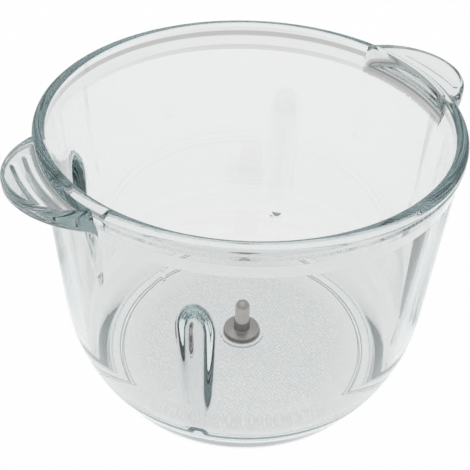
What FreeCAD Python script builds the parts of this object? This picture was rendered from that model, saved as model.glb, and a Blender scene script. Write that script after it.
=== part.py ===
import FreeCAD, Part
import math
import os
from FreeCAD import Vector

# Food chopper bowl of clear pressed glass, with a steel spindle pin bonded to its floor.
# All lengths are in millimetres. The bowl's axis is Z, it stands on z = 0, and its two ears lie along X.

# Rim, with a round bead outside and a cove inside that the lid sits in
bowl_height = 126.0
rim_radius = 85.0
rim_width = 5.0
rim_outer_rounding = 3.2
rim_inner_rounding = 1.7
bead_drop = 5.2
bead_rounding = 2.0
cove_drop = 6.0
cove_rounding = 4.0
lip_drop = 9.0
lip_rounding = 1.0

# Leaning wall
shoulder_inset = 1.55
shoulder_drop = 9.4
shoulder_rounding = 2.0
wall_thickness = 5.3
wall_lean = 3.6
inner_bend = 19.0

# Heel, foot ring and recess under the floor
floor_height = 8.5
heel_angle = 60.0
heel_bend = 75.0
foot_inset = 21.5
foot_height = 2.5
foot_draft = 0.3
foot_step = 1.3
foot_rounding = 0.6
foot_ring_width = 5.0
recess_depth = 3.0
recess_slope_run = 2.5
recess_rounding = 1.0

# Raised seat on the floor, under the spindle
seat_radius = 10.3
seat_height = 0.8
seat_rounding = 0.3

# Inner ribs
rib_count = 4
rib_turn = 45.0
rib_radius = 6.5
rib_rise = 4.4
rib_dome_height = 13.0
rib_top_drop = 34.0

# Ears
ear_overhang = 16.0
ear_lobe_radius = 29.5
ear_drop = 1.5
ear_tip_thickness = 5.5
ear_underside_slope = 16.5
ear_rounding = 1.8
ear_root_depth = 2.5

# Grip ridges under the ears, each as an inset from the ear's tip and a sector
outer_ridge_inset = 7.7
outer_ridge_sector = 20.0
inner_ridge_inset = 13.0
inner_ridge_sector = 26.0
ridge_rounding = 1.1

# Adhesive bed and spindle pin
bed_radius = 8.75
bed_thickness = 0.3
flange_radius = 8.25
flange_thickness = 2.0
flange_rounding = 0.3
hub_radius = 3.75
hub_height = 4.5
hub_rounding = 0.2
pin_radius = 3.35
pin_length = 8.4
pin_tip_rounding = 3.0

# Heights, slopes and radii that follow from the sizes above
full_turn = 360.0
half_turn = 180.0
rim_inner_radius = rim_radius - rim_width
shoulder_radius = rim_radius - shoulder_inset
shoulder_z = bowl_height - shoulder_drop
lip_z = bowl_height - lip_drop
wall_slope = math.tan(math.radians(wall_lean))
wall_gap = wall_thickness / math.cos(math.radians(wall_lean))
seat_z = floor_height + seat_height
foot_radius = rim_radius - foot_inset
recess_mouth_radius = foot_radius - foot_ring_width
ear_reach = rim_radius + ear_overhang
ear_top_z = bowl_height - ear_drop
ear_root_radius = rim_radius - ear_root_depth
ear_slope = math.tan(math.radians(ear_underside_slope))
up = Vector(0, 0, 1)
centre_line = Vector(0, 0, 0)


def wall_radius(z):
    """Outside radius of the leaning wall at height z, carried on past its ends."""
    return shoulder_radius - (shoulder_z - z) * wall_slope


def ear_underside(radius):
    """Height of the ear's sloping underside at a distance from the bowl's axis."""
    return ear_top_z - ear_tip_thickness - (ear_reach - radius) * ear_slope


def rounded_outline(corners):
    """Closed wire through (radius, height, rounding) corners in the XZ plane, with tangent arcs."""
    points = [Vector(radius, 0, height) for radius, height, rounding in corners]
    starts = []
    ends = []
    arcs = []
    for index, here in enumerate(points):
        rounding = corners[index][2]
        back = (points[index - 1] - here).normalize()
        ahead = (points[(index + 1) % len(points)] - here).normalize()
        half_angle = back.getAngle(ahead) / 2
        reach = rounding / math.tan(half_angle)
        start = here + back * reach
        end = here + ahead * reach
        arc = None
        if rounding > 0:
            inward = (back + ahead).normalize()
            nearest = here + inward * (rounding / math.sin(half_angle) - rounding)
            arc = Part.Arc(start, nearest, end).toShape()
        starts.append(start)
        ends.append(end)
        arcs.append(arc)
    edges = []
    for index, arc in enumerate(arcs):
        if arc is not None:
            edges.append(arc)
        edges.append(Part.makeLine(ends[index], starts[(index + 1) % len(points)]))
    return Part.Wire(edges)


def turned(corners):
    """Solid made by turning a closed outline of rounded corners once round Z."""
    return Part.Face(rounded_outline(corners)).revolve(centre_line, up, full_turn)


def turned_bowl():
    """The bowl without ribs and ears: foot ring, heel, leaning wall, bead, rim, cove, lip, floor and seat."""
    root_radius = foot_radius - foot_draft
    shelf_radius = root_radius + foot_step
    heel = math.radians(heel_angle)
    run = (wall_radius(foot_height) - shelf_radius) / (math.cos(heel) - math.sin(heel) * wall_slope)
    heel_radius = shelf_radius + run * math.cos(heel)
    heel_z = foot_height + run * math.sin(heel)
    return turned([
        (0, recess_depth, 0),
        (recess_mouth_radius - recess_slope_run, recess_depth, recess_rounding),
        (recess_mouth_radius, 0, recess_rounding),
        (foot_radius, 0, foot_rounding),
        (root_radius, foot_height, foot_rounding),
        (shelf_radius, foot_height, foot_rounding),
        (heel_radius, heel_z, heel_bend),
        (shoulder_radius, shoulder_z, shoulder_rounding),
        (rim_radius, bowl_height - bead_drop, bead_rounding),
        (rim_radius, bowl_height, rim_outer_rounding),
        (rim_inner_radius, bowl_height, rim_inner_rounding),
        (rim_inner_radius, bowl_height - cove_drop, cove_rounding),
        (wall_radius(lip_z) - wall_gap, lip_z, lip_rounding),
        (wall_radius(floor_height) - wall_gap, floor_height, inner_bend),
        (seat_radius, floor_height, seat_rounding),
        (seat_radius, seat_z, seat_rounding),
        (0, seat_z, 0),
    ])


def middle_form():
    """Solid form that ends halfway through the thickness of the bowl's floor and wall."""
    middle_z = (recess_depth + floor_height) / 2
    return turned([
        (0, middle_z, 0),
        (wall_radius(middle_z) - wall_gap / 2, middle_z, inner_bend + wall_thickness / 2),
        (wall_radius(shoulder_z) - wall_gap / 2, shoulder_z, 0),
        (0, shoulder_z, 0),
    ])


def inner_ribs():
    """Upright half-round ribs on the inside of the wall, each with a long domed top."""
    top_z = bowl_height - rib_top_drop
    spring_z = top_z - rib_dome_height
    crest_radius = wall_radius(spring_z) - wall_gap - rib_rise
    top = Vector(0, 0, top_z)
    spring = Vector(rib_radius, 0, spring_z)
    foot = Vector(rib_radius, 0, 0)
    dome = Part.Ellipse(top, spring, Vector(0, 0, spring_z))
    outline = Part.Wire([
        Part.makeLine(centre_line, foot),
        Part.makeLine(foot, spring),
        Part.ArcOfEllipse(dome, 0, math.pi / 2).toShape(),
        Part.makeLine(top, centre_line),
    ])
    column = Part.Face(outline).revolve(centre_line, up, full_turn)
    column.translate(Vector(crest_radius + rib_radius, 0, 0))
    form = middle_form()
    ribs = []
    for index in range(rib_count):
        rib = column.copy()
        rib.rotate(centre_line, up, rib_turn + index * full_turn / rib_count)
        ribs.append(rib.common(form))
    return ribs


def grip_ridge(inset, sector):
    """Low round ridge along an arc under the ear, with a ball at each end."""
    radius = ear_reach - inset
    middle = Vector(radius, 0, ear_underside(radius))
    section = Part.Face(Part.Wire(Part.makeCircle(ridge_rounding, middle, Vector(0, 1, 0))))
    section.rotate(centre_line, up, -sector / 2)
    ridge = section.revolve(centre_line, up, sector)
    balls = []
    for angle in (-sector / 2, sector / 2):
        ball = Part.makeSphere(ridge_rounding, middle)
        ball.rotate(centre_line, up, angle)
        balls.append(ball)
    return ridge.fuse(balls)


def grip_ear():
    """Round-ended ear on +X with rounded lobe edges and a sloping underside."""
    past_tip = ear_reach + ear_rounding
    plate = turned([
        (ear_root_radius, ear_underside(ear_root_radius), 0),
        (past_tip, ear_underside(past_tip), 0),
        (past_tip, ear_top_z, 0),
        (ear_root_radius, ear_top_z, 0),
    ])
    lobe_centre = Vector(ear_reach - ear_lobe_radius, 0, 0)
    lobe = Part.makeCylinder(ear_lobe_radius, bowl_height, lobe_centre)
    blank = lobe.common(plate)
    lobe_edges = []
    for edge in blank.Edges:
        middle = edge.valueAt((edge.FirstParameter + edge.LastParameter) / 2)
        beyond = Vector(middle.x, middle.y, 0).distanceToPoint(lobe_centre)
        upright = abs(edge.BoundBox.ZLength) > abs(edge.BoundBox.XLength + edge.BoundBox.YLength)
        if abs(beyond - ear_lobe_radius) < ridge_rounding and not upright:
            lobe_edges.append(edge)
    return blank.makeFillet(ear_rounding, lobe_edges)


os.makedirs("parts", exist_ok=True)

# Clear glass bowl, pressed in one piece
ear = grip_ear()
ridges = [
    grip_ridge(outer_ridge_inset, outer_ridge_sector),
    grip_ridge(inner_ridge_inset, inner_ridge_sector),
]
near_ear = ear.fuse(ridges)
far_ear = near_ear.copy()
far_ear.rotate(centre_line, up, half_turn)
glass_bowl = turned_bowl().fuse(inner_ribs() + [near_ear, far_ear])
glass_bowl.exportStep("parts/glass_bowl.step")

# Thin bed of clear adhesive between the seat and the spindle's flange
adhesive_bed = Part.makeCylinder(bed_radius, bed_thickness, Vector(0, 0, seat_z))
adhesive_bed.exportStep("parts/adhesive_bed.step")

# Turned steel spindle pin with a round flange, a hub step and a rounded tip
flange_z = seat_z + bed_thickness
hub_z = flange_z + flange_thickness
pin_z = hub_z + hub_height
tip_z = pin_z + pin_length + pin_tip_rounding
spindle_pin = turned([
    (0, flange_z, 0),
    (flange_radius, flange_z, flange_rounding),
    (flange_radius, hub_z, flange_rounding),
    (hub_radius, hub_z, 0),
    (hub_radius, pin_z, hub_rounding),
    (pin_radius, pin_z, 0),
    (pin_radius, tip_z, pin_tip_rounding),
    (0, tip_z, 0),
])
spindle_pin.exportStep("parts/spindle_pin.step")
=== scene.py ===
import bmesh
import bpy
import math
from mathutils import Matrix, Vector


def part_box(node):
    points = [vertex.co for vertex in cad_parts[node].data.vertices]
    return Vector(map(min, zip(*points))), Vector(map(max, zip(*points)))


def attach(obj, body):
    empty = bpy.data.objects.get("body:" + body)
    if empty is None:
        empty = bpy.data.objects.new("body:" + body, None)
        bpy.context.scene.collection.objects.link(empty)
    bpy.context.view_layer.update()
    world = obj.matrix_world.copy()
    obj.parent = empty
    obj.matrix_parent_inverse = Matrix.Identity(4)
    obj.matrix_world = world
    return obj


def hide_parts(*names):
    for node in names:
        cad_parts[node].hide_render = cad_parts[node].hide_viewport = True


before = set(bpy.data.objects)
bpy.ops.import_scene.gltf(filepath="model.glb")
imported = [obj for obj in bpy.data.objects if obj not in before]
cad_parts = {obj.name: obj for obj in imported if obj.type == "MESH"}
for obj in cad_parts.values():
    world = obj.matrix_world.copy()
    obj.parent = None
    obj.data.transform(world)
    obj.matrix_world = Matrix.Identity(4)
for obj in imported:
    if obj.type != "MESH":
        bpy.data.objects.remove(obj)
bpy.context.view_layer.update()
scene = bpy.context.scene
scene.view_settings.view_transform = "Standard"


# Glass bowl. It is pressed in one piece from clear soda-lime glass: a leaning wall with a heavy round rim,
# a cove for the lid, a soft heel and foot ring, four upright ribs inside and two ears to lift it by.
# The round body comes first: its section is drawn corner by corner, rounded, and spun about the axis.
bowl_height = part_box("glass_bowl")[1].z
rim_radius = 0.085
rim_width = 0.005
rim_outer_rounding = 0.0032
rim_inner_rounding = 0.0017
cove_z = bowl_height - 0.006
cove_rounding = 0.0025
lip_z = bowl_height - 0.01
lip_radius = 0.079
lip_rounding = 0.003
bead_z = bowl_height - 0.0052
bead_rounding = 0.002
shoulder_z = bowl_height - 0.014
shoulder_radius = 0.08316
shoulder_rounding = 0.002
wall_slope = math.tan(math.radians(3.6))
wall_thickness = 0.0053
wall_gap = wall_thickness * math.hypot(1, wall_slope)
inner_bend = 0.019
floor_z = 0.0085
heel_slope = math.tan(math.radians(60))
heel_bend = 0.066
heel_start_radius = 0.0645
foot_radius = 0.0635
foot_top_radius = 0.0632
foot_height = 0.0025
foot_rounding = 0.0006
recess_radius = 0.056
recess_mouth_radius = 0.0585
recess_z = 0.003
recess_rounding = 0.0016
seat_radius = 0.0103
seat_z = 0.0093
seat_rounding = 0.0003
rib_count = 4
rib_angle = math.radians(45)
rib_zone = math.radians(15)
rib_zone_steps = 60
plain_zone = math.tau / rib_count - rib_zone
plain_zone_steps = 30
inner_wall_rows = 56
other_rows = 10
doubles_distance = 1e-6


def wall_radius(z):
    """Outside radius of the leaning wall at height z, carried on past its ends."""
    return shoulder_radius - (shoulder_z - z) * wall_slope


def middle_radius(z):
    """Radius halfway through the wall at height z."""
    return wall_radius(z) - wall_thickness / 2


def draw_section(form, corners):
    """Draws a line through (radius, height, rounding, segments) corners in the XZ plane and rounds them."""
    points = [form.verts.new((radius, 0, height)) for radius, height, _, _ in corners]
    for before, point in zip(points, points[1:]):
        form.edges.new((before, point))
    bends = []
    for index, (_, _, rounding, segments) in enumerate(corners[1:-1], start=1):
        back = points[index - 1].co - points[index].co
        ahead = points[index + 1].co - points[index].co
        bends.append((points[index], rounding / math.tan(back.angle(ahead) / 2), segments))
    for point, reach, segments in bends:
        if reach > 0:
            bmesh.ops.bevel(
                form, geom=[point], offset=reach, offset_type="OFFSET", segments=segments,
                profile=0.5, affect="VERTICES", material=-1,
            )


def finish_form(form, name):
    """Object made from a form, with merged doubles, outward faces and smooth shading."""
    bmesh.ops.remove_doubles(form, verts=form.verts, dist=doubles_distance)
    bmesh.ops.recalc_face_normals(form, faces=form.faces)
    mesh = bpy.data.meshes.new(name)
    form.to_mesh(mesh)
    form.free()
    mesh.shade_smooth()
    piece = bpy.data.objects.new(name, mesh)
    scene.collection.objects.link(piece)
    return piece


heel_rise = (wall_radius(foot_height) - heel_start_radius) / (1 / heel_slope - wall_slope)
heel_z = foot_height + heel_rise
body = bmesh.new()
draw_section(body, [
    (0, recess_z, 0, 0),
    (recess_radius, recess_z, recess_rounding, 4),
    (recess_mouth_radius, 0, recess_rounding, 4),
    (foot_radius, 0, foot_rounding, 4),
    (foot_top_radius, foot_height, foot_rounding, 4),
    (heel_start_radius, foot_height, foot_rounding, 3),
    (wall_radius(heel_z), heel_z, heel_bend, 20),
    (shoulder_radius, shoulder_z, shoulder_rounding, 5),
    (rim_radius, bead_z, bead_rounding, 5),
    (rim_radius, bowl_height, rim_outer_rounding, 12),
    (rim_radius - rim_width, bowl_height, rim_inner_rounding, 8),
    (rim_radius - rim_width, cove_z, cove_rounding, 8),
    (lip_radius, lip_z, lip_rounding, 6),
    (wall_radius(floor_z) - wall_gap, floor_z, inner_bend, 24),
    (seat_radius, floor_z, seat_rounding, 3),
    (seat_radius, seat_z, seat_rounding, 3),
    (0, seat_z, 0, 0),
])

# The long straight lines of the section are cut into rows, with more of them up the inside of the wall,
# and the section is spun in finer steps where a rib will stand.
long_lines = [edge for edge in body.edges if edge.calc_length() > inner_bend]
inner_wall = []
other_lines = []
for edge in long_lines:
    heights = [vertex.co.z for vertex in edge.verts]
    depths = [middle_radius(vertex.co.z) - vertex.co.x for vertex in edge.verts]
    if min(heights) > floor_z + inner_bend / 2 and min(depths) > 0:
        inner_wall.append(edge)
    else:
        other_lines.append(edge)
bmesh.ops.subdivide_edges(body, edges=inner_wall, cuts=inner_wall_rows)
bmesh.ops.subdivide_edges(body, edges=other_lines, cuts=other_rows)
to_first_rib = Matrix.Rotation(rib_angle - rib_zone / 2, 3, "Z")
bmesh.ops.rotate(body, cent=(0, 0, 0), matrix=to_first_rib, verts=body.verts)
front = body.verts[:] + body.edges[:]
for _ in range(rib_count):
    for angle, steps in ((rib_zone, rib_zone_steps), (plain_zone, plain_zone_steps)):
        spun = bmesh.ops.spin(
            body, geom=front, cent=(0, 0, 0), axis=(0, 0, 1), dvec=(0, 0, 0), angle=angle, steps=steps,
        )
        front = spun["geom_last"]

# The four ribs are half-round columns with long domed tops, and each sinks back into the wall towards its
# foot. Glass flows softly from the wall into each, so the wall's inside is pushed in to meet the column,
# with a small fillet along the join.
rib_radius = 0.0065
rib_crest_radius = 0.07137
rib_dome_height = 0.013
rib_spring_z = bowl_height - 0.034 - rib_dome_height
rib_fillet = 0.0022
rib_inner_limit = rib_crest_radius - rib_fillet
rib_sink_z = 0.042
rib_sink = 0.006
radius_precision = 1e-7


def clearance(radius, angle, z, wall):
    """How far a point inside the bowl is from the wall or the rib at angle zero, whichever is nearer."""
    sunk = max(rib_sink_z - z, 0) / rib_sink_z
    crest_radius = rib_crest_radius + rib_sink * sunk * sunk
    fillet = rib_fillet * (1 - sunk)
    to_wall = wall - radius
    outward = radius * math.cos(angle) - crest_radius - rib_radius
    sideways = radius * math.sin(angle)
    above_spring = max(0, z - rib_spring_z) * rib_radius / rib_dome_height
    to_rib = Vector((outward, sideways, above_spring)).length - rib_radius
    blend = max(fillet - abs(to_wall - to_rib), 0) / fillet
    return min(to_wall, to_rib) - blend * blend * fillet / 4


def surface_radius(angle, z, wall):
    """Radius at which a line from the axis out to the wall meets the glass, on the wall or on the rib."""
    near = rib_inner_limit
    far = wall
    while far - near > radius_precision:
        middle = (near + far) / 2
        if clearance(middle, angle, z, wall) > 0:
            near = middle
        else:
            far = middle
    return near


for vertex in body.verts:
    radius = math.hypot(vertex.co.x, vertex.co.y)
    z = vertex.co.z
    at_rib_height = floor_z <= z <= lip_z - rib_dome_height
    on_inner_wall = at_rib_height and rib_inner_limit <= radius <= middle_radius(z)
    turn = math.atan2(vertex.co.y, vertex.co.x) - rib_angle
    angle = (turn + math.pi / rib_count) % (math.tau / rib_count) - math.pi / rib_count
    if on_inner_wall and abs(angle) < rib_zone / 2 and clearance(radius, angle, z, radius) < 0:
        push = surface_radius(angle, z, radius) / radius
        vertex.co.x *= push
        vertex.co.y *= push
glass_bowl = finish_form(body, "bowl")

# The two ears are part of the same pressing: round-ended lugs just under the rim, thicker towards the wall,
# with a flat top, rounded edges, and two low soft ridges under each for the fingertips.
ear_reach = 0.101
ear_lobe_radius = 0.0295
ear_lobe_centre = ear_reach - ear_lobe_radius
ear_top_z = bowl_height - 0.0015
ear_tip_thickness = 0.0055
ear_tip_z = ear_top_z - ear_tip_thickness
ear_slope = math.tan(math.radians(14.5))
ear_rounding = 0.0018
ear_root_radius = 0.0825
ear_fillet = 0.003
ear_rows = 56
ear_steps = 220
ridge_height = 0.0005
ridge_reach = 0.0017
ridge_arcs = ((0.0933, math.radians(20)), (0.088, math.radians(26)))
core_segments = 400
glass_sharp_angle = math.radians(35)


def spin_round(form, steps):
    """Spins a drawn section once round Z."""
    bmesh.ops.spin(
        form, geom=form.verts[:] + form.edges[:], cent=(0, 0, 0), axis=(0, 0, 1), dvec=(0, 0, 0),
        angle=math.tau, steps=steps, use_merge=True,
    )


def ear_underside(radius):
    """Height of the ear's sloping underside at a distance from the bowl's axis."""
    return ear_tip_z - (ear_reach - radius) * ear_slope


def ridge_drop(radius, angle):
    """How far the soft ridges stand below the ear's underside at a place given by radius and angle."""
    drop = 0
    for arc_radius, arc_sector in ridge_arcs:
        past_end = max(abs(angle) - arc_sector / 2, 0) * arc_radius
        away = min(math.hypot(radius - arc_radius, past_end) / ridge_reach, 1)
        drop += ridge_height * math.cos(away * math.pi / 2) ** 2
    return drop


ears = bmesh.new()
draw_section(ears, [
    (0, ear_top_z, 0, 0),
    (ear_lobe_radius, ear_top_z, ear_rounding, 8),
    (ear_lobe_radius, ear_tip_z, ear_rounding, 8),
    (0, ear_tip_z, 0, 0),
])
underside_line = [
    edge for edge in ears.edges
    if max(vertex.co.z for vertex in edge.verts) < ear_tip_z + ear_rounding / 8
    and edge.calc_length() > ear_lobe_radius / 2
]
bmesh.ops.subdivide_edges(ears, edges=underside_line, cuts=ear_rows)
spin_round(ears, ear_steps)
bmesh.ops.remove_doubles(ears, verts=ears.verts, dist=doubles_distance)
bmesh.ops.translate(ears, vec=(ear_lobe_centre, 0, 0), verts=ears.verts)
for vertex in ears.verts:
    share = min((ear_top_z - vertex.co.z) / ear_tip_thickness, 1)
    radius = math.hypot(vertex.co.x, vertex.co.y)
    slope_drop = ear_tip_z - ear_underside(radius)
    short = min(max(ear_fillet - radius + wall_radius(ear_underside(radius)), 0), ear_fillet)
    flare = ear_fillet - math.sqrt(ear_fillet ** 2 - short ** 2)
    ridge = ridge_drop(radius, math.atan2(vertex.co.y, vertex.co.x))
    vertex.co.z -= (slope_drop + flare + ridge) * share
near_ear = ears.verts[:] + ears.edges[:] + ears.faces[:]
far_ear = bmesh.ops.duplicate(ears, geom=near_ear)["geom"]
far_ear_points = [item for item in far_ear if isinstance(item, bmesh.types.BMVert)]
bmesh.ops.rotate(ears, cent=(0, 0, 0), matrix=Matrix.Rotation(math.pi, 3, "Z"), verts=far_ear_points)
ear_pair = finish_form(ears, "ears")

# A round core is cut away from the ears, so that each ends inside the wall, and then they join the bowl.
core = bmesh.new()
bmesh.ops.create_cone(
    core, cap_ends=True, segments=core_segments, radius1=ear_root_radius, radius2=ear_root_radius,
    depth=2 * bowl_height,
)
bowl_core = finish_form(core, "core")


def apply_modifiers(piece):
    """Gives a piece the mesh that its modifiers make of it, and takes them off."""
    evaluated = piece.evaluated_get(bpy.context.evaluated_depsgraph_get())
    shaped = bpy.data.meshes.new_from_object(evaluated)
    piece.modifiers.clear()
    piece.data = shaped


def combine(piece, tool, operation):
    """Joins the tool to the piece, or cuts it away, and removes the tool."""
    cut = piece.modifiers.new(tool.name, "BOOLEAN")
    cut.operation = operation
    cut.object = tool
    cut.solver = "EXACT"
    apply_modifiers(piece)
    bpy.data.objects.remove(tool)


combine(ear_pair, bowl_core, "DIFFERENCE")
combine(glass_bowl, ear_pair, "UNION")
glass_bowl.data.shade_smooth()
glass_bowl.data.set_sharp_from_angle(angle=glass_sharp_angle)
weights = glass_bowl.modifiers.new("weights", "WEIGHTED_NORMAL")
weights.keep_sharp = True
apply_modifiers(glass_bowl)

# Pressed glass is smooth all over but for a fine stipple in the recess under the floor, which hides
# scratches: faint dots with a very low bump, and the glass there is tinted darker where the dots sink
# deepest, as painted shade. The bowl's edges are a faint blue-green, because light turns back many times on
# its long way through them, so it is given many bounces.
light_bounces = 128
stipple_full_radius = 0.043
stipple_top_z = recess_z + recess_rounding / 4
scene.cycles.max_bounces = light_bounces
scene.cycles.transmission_bounces = light_bounces
scene.cycles.glossy_bounces = light_bounces


def set_stops(ramp, stops):
    """Gives a Color Ramp node its (position, colour) stops, in order of position."""
    elements = ramp.color_ramp.elements
    for index, (position, colour) in enumerate(stops):
        element = elements.new(position) if index > 1 else elements[index]
        element.position = position
        element.color = (*colour, 1)


glass = bpy.data.materials.new("clear_glass")
glass.use_nodes = True
nodes, links = glass.node_tree.nodes, glass.node_tree.links
nodes.clear()
surface = nodes.new("ShaderNodeBsdfPrincipled")
surface.inputs["Roughness"].default_value = 0.0
surface.inputs["Metallic"].default_value = 0.0
surface.inputs["IOR"].default_value = 1.51
surface.inputs["Transmission Weight"].default_value = 1.0
tint = nodes.new("ShaderNodeVolumeAbsorption")
tint.inputs["Color"].default_value = (0.6, 0.695, 0.705, 1)
tint.inputs["Density"].default_value = 21.0

place = nodes.new("ShaderNodeTexCoord")
flat = nodes.new("ShaderNodeVectorMath")
flat.operation = "MULTIPLY"
flat.inputs[1].default_value = (1, 1, 0)
reach = nodes.new("ShaderNodeVectorMath")
reach.operation = "LENGTH"
inside = nodes.new("ShaderNodeMapRange")
inside.inputs["From Min"].default_value = recess_radius - recess_rounding
inside.inputs["From Max"].default_value = stipple_full_radius
height = nodes.new("ShaderNodeSeparateXYZ")
below = nodes.new("ShaderNodeMath")
below.operation = "LESS_THAN"
below.inputs[1].default_value = stipple_top_z
stippled = nodes.new("ShaderNodeMath")
stippled.operation = "MULTIPLY"
links.new(place.outputs["Object"], flat.inputs[0])
links.new(flat.outputs["Vector"], reach.inputs[0])
links.new(reach.outputs["Value"], inside.inputs["Value"])
links.new(place.outputs["Object"], height.inputs["Vector"])
links.new(height.outputs["Z"], below.inputs[0])
links.new(inside.outputs["Result"], stippled.inputs[0])
links.new(below.outputs["Value"], stippled.inputs[1])

dots = nodes.new("ShaderNodeTexVoronoi")
dots.inputs["Scale"].default_value = 640
dots.inputs["Randomness"].default_value = 0.35
# Painted shade: the glass colour is darker where the stipple's dots sink deepest.
painted_pit_shade = nodes.new("ShaderNodeValToRGB")
set_stops(painted_pit_shade, [
    (0.25, (0.9, 0.9, 0.896)),
    (0.5, (0.68, 0.7, 0.705)),
])
glass_tint_and_pit_shade = nodes.new("ShaderNodeMix")
glass_tint_and_pit_shade.data_type = "RGBA"
glass_tint_and_pit_shade.inputs["A"].default_value = (0.88, 0.88, 0.876, 1)
stipple = nodes.new("ShaderNodeBump")
stipple.inputs["Distance"].default_value = 0.00004
stipple.invert = True
links.new(flat.outputs["Vector"], dots.inputs["Vector"])
links.new(dots.outputs["Distance"], painted_pit_shade.inputs["Fac"])
links.new(painted_pit_shade.outputs["Color"], glass_tint_and_pit_shade.inputs["B"])
links.new(stippled.outputs["Value"], glass_tint_and_pit_shade.inputs["Factor"])
links.new(glass_tint_and_pit_shade.outputs["Result"], surface.inputs["Base Color"])
links.new(dots.outputs["Distance"], stipple.inputs["Height"])
links.new(stippled.outputs["Value"], stipple.inputs["Strength"])
links.new(stipple.outputs["Normal"], surface.inputs["Normal"])

rays = nodes.new("ShaderNodeLightPath")
clear = nodes.new("ShaderNodeBsdfTransparent")
clear.inputs["Color"].default_value = (0.93, 0.95, 0.95, 1)
shade = nodes.new("ShaderNodeMixShader")
output = nodes.new("ShaderNodeOutputMaterial")
links.new(rays.outputs["Is Shadow Ray"], shade.inputs["Fac"])
links.new(surface.outputs["BSDF"], shade.inputs[1])
links.new(clear.outputs["BSDF"], shade.inputs[2])
links.new(shade.outputs["Shader"], output.inputs["Surface"])
links.new(tint.outputs["Volume"], output.inputs["Volume"])
glass_bowl.data.materials.clear()
glass_bowl.data.materials.append(glass)
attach(glass_bowl, "root")
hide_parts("glass_bowl")


# Adhesive bed. A thin film of clear cured adhesive holds the spindle's flange to the raised seat in the
# floor. It was squeezed out a little all round, so it shows as a narrow glossy ring.
bed_low, bed_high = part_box("adhesive_bed")
bed_rounding = 0.0002
bed_steps = 96
turned_sharp_angle = math.radians(40)
film_gap = 0.00001
bed = bmesh.new()
draw_section(bed, [
    (0, bed_low.z + film_gap, 0, 0),
    (bed_high.x, bed_low.z + film_gap, 0, 0),
    (bed_high.x, bed_high.z - film_gap, bed_rounding, 4),
    (0, bed_high.z - film_gap, 0, 0),
])
spin_round(bed, bed_steps)
adhesive_bed = finish_form(bed, "adhesive")
adhesive_bed.data.set_sharp_from_angle(angle=turned_sharp_angle)

resin = bpy.data.materials.new("clear_adhesive")
resin.use_nodes = True
surface = resin.node_tree.nodes["Principled BSDF"]
surface.inputs["Base Color"].default_value = (0.62, 0.62, 0.6, 1)
surface.inputs["Roughness"].default_value = 0.18
surface.inputs["IOR"].default_value = 1.49
adhesive_bed.data.materials.append(resin)
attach(adhesive_bed, "root")
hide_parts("adhesive_bed")


# Spindle pin. It is turned from one bar of stainless steel: a round flange, a short hub that carries the
# blade unit, and a slim pin with a rounded tip that the blade unit turns on. Its colour is set by height
# with
# painted highlights and painted shade: the flange's top and the pin are painted bright, and the sides of
# the flange and the hub are painted dark.
pin_low, pin_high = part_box("spindle_pin")
flange_radius = pin_high.x
flange_top_z = pin_low.z + 0.002
flange_rounding = 0.0003
hub_radius = 0.00375
hub_top_z = flange_top_z + 0.0045
hub_rounding = 0.0002
pin_radius = 0.00335
pin_tip_rounding = 0.003
pin_steps = 128
pin = bmesh.new()
draw_section(pin, [
    (0, pin_low.z, 0, 0),
    (flange_radius, pin_low.z, flange_rounding, 3),
    (flange_radius, flange_top_z, flange_rounding, 3),
    (hub_radius, flange_top_z, flange_rounding, 3),
    (hub_radius, hub_top_z, hub_rounding, 3),
    (pin_radius, hub_top_z, 0, 0),
    (pin_radius, pin_high.z, pin_tip_rounding, 10),
    (0, pin_high.z, 0, 0),
])
spin_round(pin, pin_steps)
spindle_pin = finish_form(pin, "spindle")
spindle_pin.data.set_sharp_from_angle(angle=turned_sharp_angle)

steel = bpy.data.materials.new("turned_steel")
steel.use_nodes = True
nodes, links = steel.node_tree.nodes, steel.node_tree.links
surface = nodes["Principled BSDF"]
surface.inputs["Metallic"].default_value = 1.0
surface.inputs["Roughness"].default_value = 0.3
place = nodes.new("ShaderNodeTexCoord")
height = nodes.new("ShaderNodeSeparateXYZ")
# Painted highlights and painted shade: the steel's base colour changes with height, bright on the flange's
# top and the pin, dark on the flange's sides and the hub.
painted_light_height = nodes.new("ShaderNodeMapRange")
painted_light_height.inputs["From Min"].default_value = pin_low.z
painted_light_height.inputs["From Max"].default_value = pin_high.z
painted_highlights_and_shade = nodes.new("ShaderNodeValToRGB")
set_stops(painted_highlights_and_shade, [
    (0.09, (0.11, 0.105, 0.1)),
    (0.108, (0.55, 0.517, 0.5005)),
    (0.118, (0.55, 0.517, 0.5005)),
    (0.135, (0.09, 0.0846, 0.0819)),
    (0.36, (0.13, 0.1222, 0.1183)),
    (0.38, (0.62, 0.58, 0.54)),
])
links.new(place.outputs["Object"], height.inputs["Vector"])
links.new(height.outputs["Z"], painted_light_height.inputs["Value"])
links.new(painted_light_height.outputs["Result"], painted_highlights_and_shade.inputs["Fac"])
links.new(painted_highlights_and_shade.outputs["Color"], surface.inputs["Base Color"])
spindle_pin.data.materials.append(steel)
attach(spindle_pin, "root")
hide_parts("spindle_pin")


# Studio. A pale floor keeps the bowl's soft shadow and shows white to the camera, and it darkens away from
# the bowl where glass and steel see it. A grey dome and one broad soft light from above do the rest.
floor_size = 4
white_share = 0.985
floor_form = bmesh.new()
bmesh.ops.create_grid(floor_form, x_segments=1, y_segments=1, size=floor_size)
floor = finish_form(floor_form, "floor")
paper = bpy.data.materials.new("white_paper")
paper.use_nodes = True
nodes, links = paper.node_tree.nodes, paper.node_tree.links
nodes.clear()
diffuse = nodes.new("ShaderNodeBsdfDiffuse")
diffuse.inputs["Color"].default_value = (1, 1, 1, 1)
white = nodes.new("ShaderNodeEmission")
white.inputs["Strength"].default_value = 1.0
rays = nodes.new("ShaderNodeLightPath")

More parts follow.
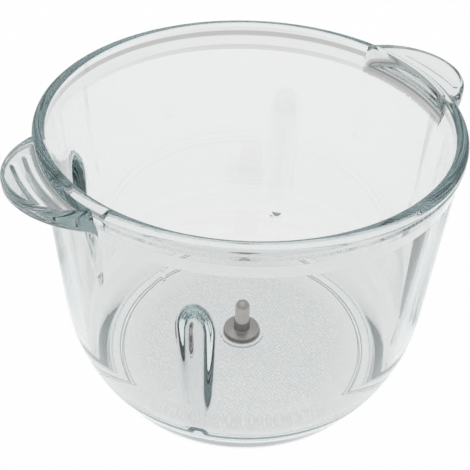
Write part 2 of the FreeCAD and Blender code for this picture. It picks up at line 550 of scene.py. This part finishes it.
place = nodes.new("ShaderNodeTexCoord")
distance = nodes.new("ShaderNodeVectorMath")
distance.operation = "LENGTH"
falloff = nodes.new("ShaderNodeValToRGB")
set_stops(falloff, [
    (0.31, (1, 1, 1)),
    (0.4, (0.66, 0.65, 0.64)),
    (0.95, (0.3, 0.31, 0.31)),
])
paper_tone = nodes.new("ShaderNodeMix")
paper_tone.data_type = "RGBA"
paper_tone.inputs["B"].default_value = (1, 1, 1, 1)
links.new(place.outputs["Object"], distance.inputs[0])
links.new(distance.outputs["Value"], falloff.inputs["Fac"])
links.new(falloff.outputs["Color"], paper_tone.inputs["A"])
links.new(rays.outputs["Is Camera Ray"], paper_tone.inputs["Factor"])
links.new(paper_tone.outputs["Result"], white.inputs["Color"])

seen_direct = nodes.new("ShaderNodeMath")
seen_direct.operation = "MAXIMUM"
seen_in_glass = nodes.new("ShaderNodeMath")
seen_in_glass.operation = "MAXIMUM"
shown_white = nodes.new("ShaderNodeMath")
shown_white.operation = "MULTIPLY"
shown_white.inputs[1].default_value = white_share
mixed = nodes.new("ShaderNodeMixShader")
output = nodes.new("ShaderNodeOutputMaterial")
links.new(rays.outputs["Is Camera Ray"], seen_direct.inputs[0])
links.new(rays.outputs["Is Glossy Ray"], seen_direct.inputs[1])
links.new(seen_direct.outputs["Value"], seen_in_glass.inputs[0])
links.new(rays.outputs["Is Transmission Ray"], seen_in_glass.inputs[1])
links.new(seen_in_glass.outputs["Value"], shown_white.inputs[0])
links.new(shown_white.outputs["Value"], mixed.inputs["Fac"])
links.new(diffuse.outputs["BSDF"], mixed.inputs[1])
links.new(white.outputs["Emission"], mixed.inputs[2])
links.new(mixed.outputs["Shader"], output.inputs["Surface"])
floor.data.materials.append(paper)

dome = bpy.data.worlds.new("dome")
scene.world = dome
dome.use_nodes = True
nodes, links = dome.node_tree.nodes, dome.node_tree.links
background = nodes["Background"]
background.inputs["Strength"].default_value = 1.0
direction = nodes.new("ShaderNodeTexCoord")
axes = nodes.new("ShaderNodeSeparateXYZ")
sky = nodes.new("ShaderNodeValToRGB")
set_stops(sky, [
    (0.0, (0.36, 0.385, 0.39)),
    (0.6, (0.6, 0.6, 0.6)),
])
links.new(direction.outputs["Generated"], axes.inputs["Vector"])
links.new(axes.outputs["Z"], sky.inputs["Fac"])
links.new(sky.outputs["Color"], background.inputs["Color"])

softbox = bpy.data.lights.new("softbox", "AREA")
softbox.shape = "RECTANGLE"
softbox.size = 0.7
softbox.size_y = 0.5
softbox.energy = 0.3
softbox_object = bpy.data.objects.new("softbox", softbox)
softbox_object.location = (0.1, 0.35, 0.8)
softbox_aim = Vector((0, 0, 0.05)) - softbox_object.location
softbox_object.rotation_euler = softbox_aim.to_track_quat("-Z", "Y").to_euler()
scene.collection.objects.link(softbox_object)

# Camera. It looks down into the bowl from in front and to the left of the ears' axis, and leans a little.
camera_azimuth = math.radians(-122.8)
camera_distance = 0.3232
camera_height = 0.3176
camera_heading = camera_azimuth + math.radians(90.82)
camera_pitch = math.radians(90 - 38.02)
camera_roll = math.radians(2.0)
camera = bpy.data.cameras.new("camera")
camera.lens = 72.77
camera.sensor_width = 36
camera_object = bpy.data.objects.new("camera", camera)
camera_x = camera_distance * math.cos(camera_azimuth)
camera_y = camera_distance * math.sin(camera_azimuth)
camera_turn = (
    Matrix.Rotation(camera_heading, 4, "Z")
    @ Matrix.Rotation(camera_pitch, 4, "X")
    @ Matrix.Rotation(camera_roll, 4, "Z")
)
camera_object.matrix_world = Matrix.Translation((camera_x, camera_y, camera_height)) @ camera_turn
scene.collection.objects.link(camera_object)
scene.camera = camera_object
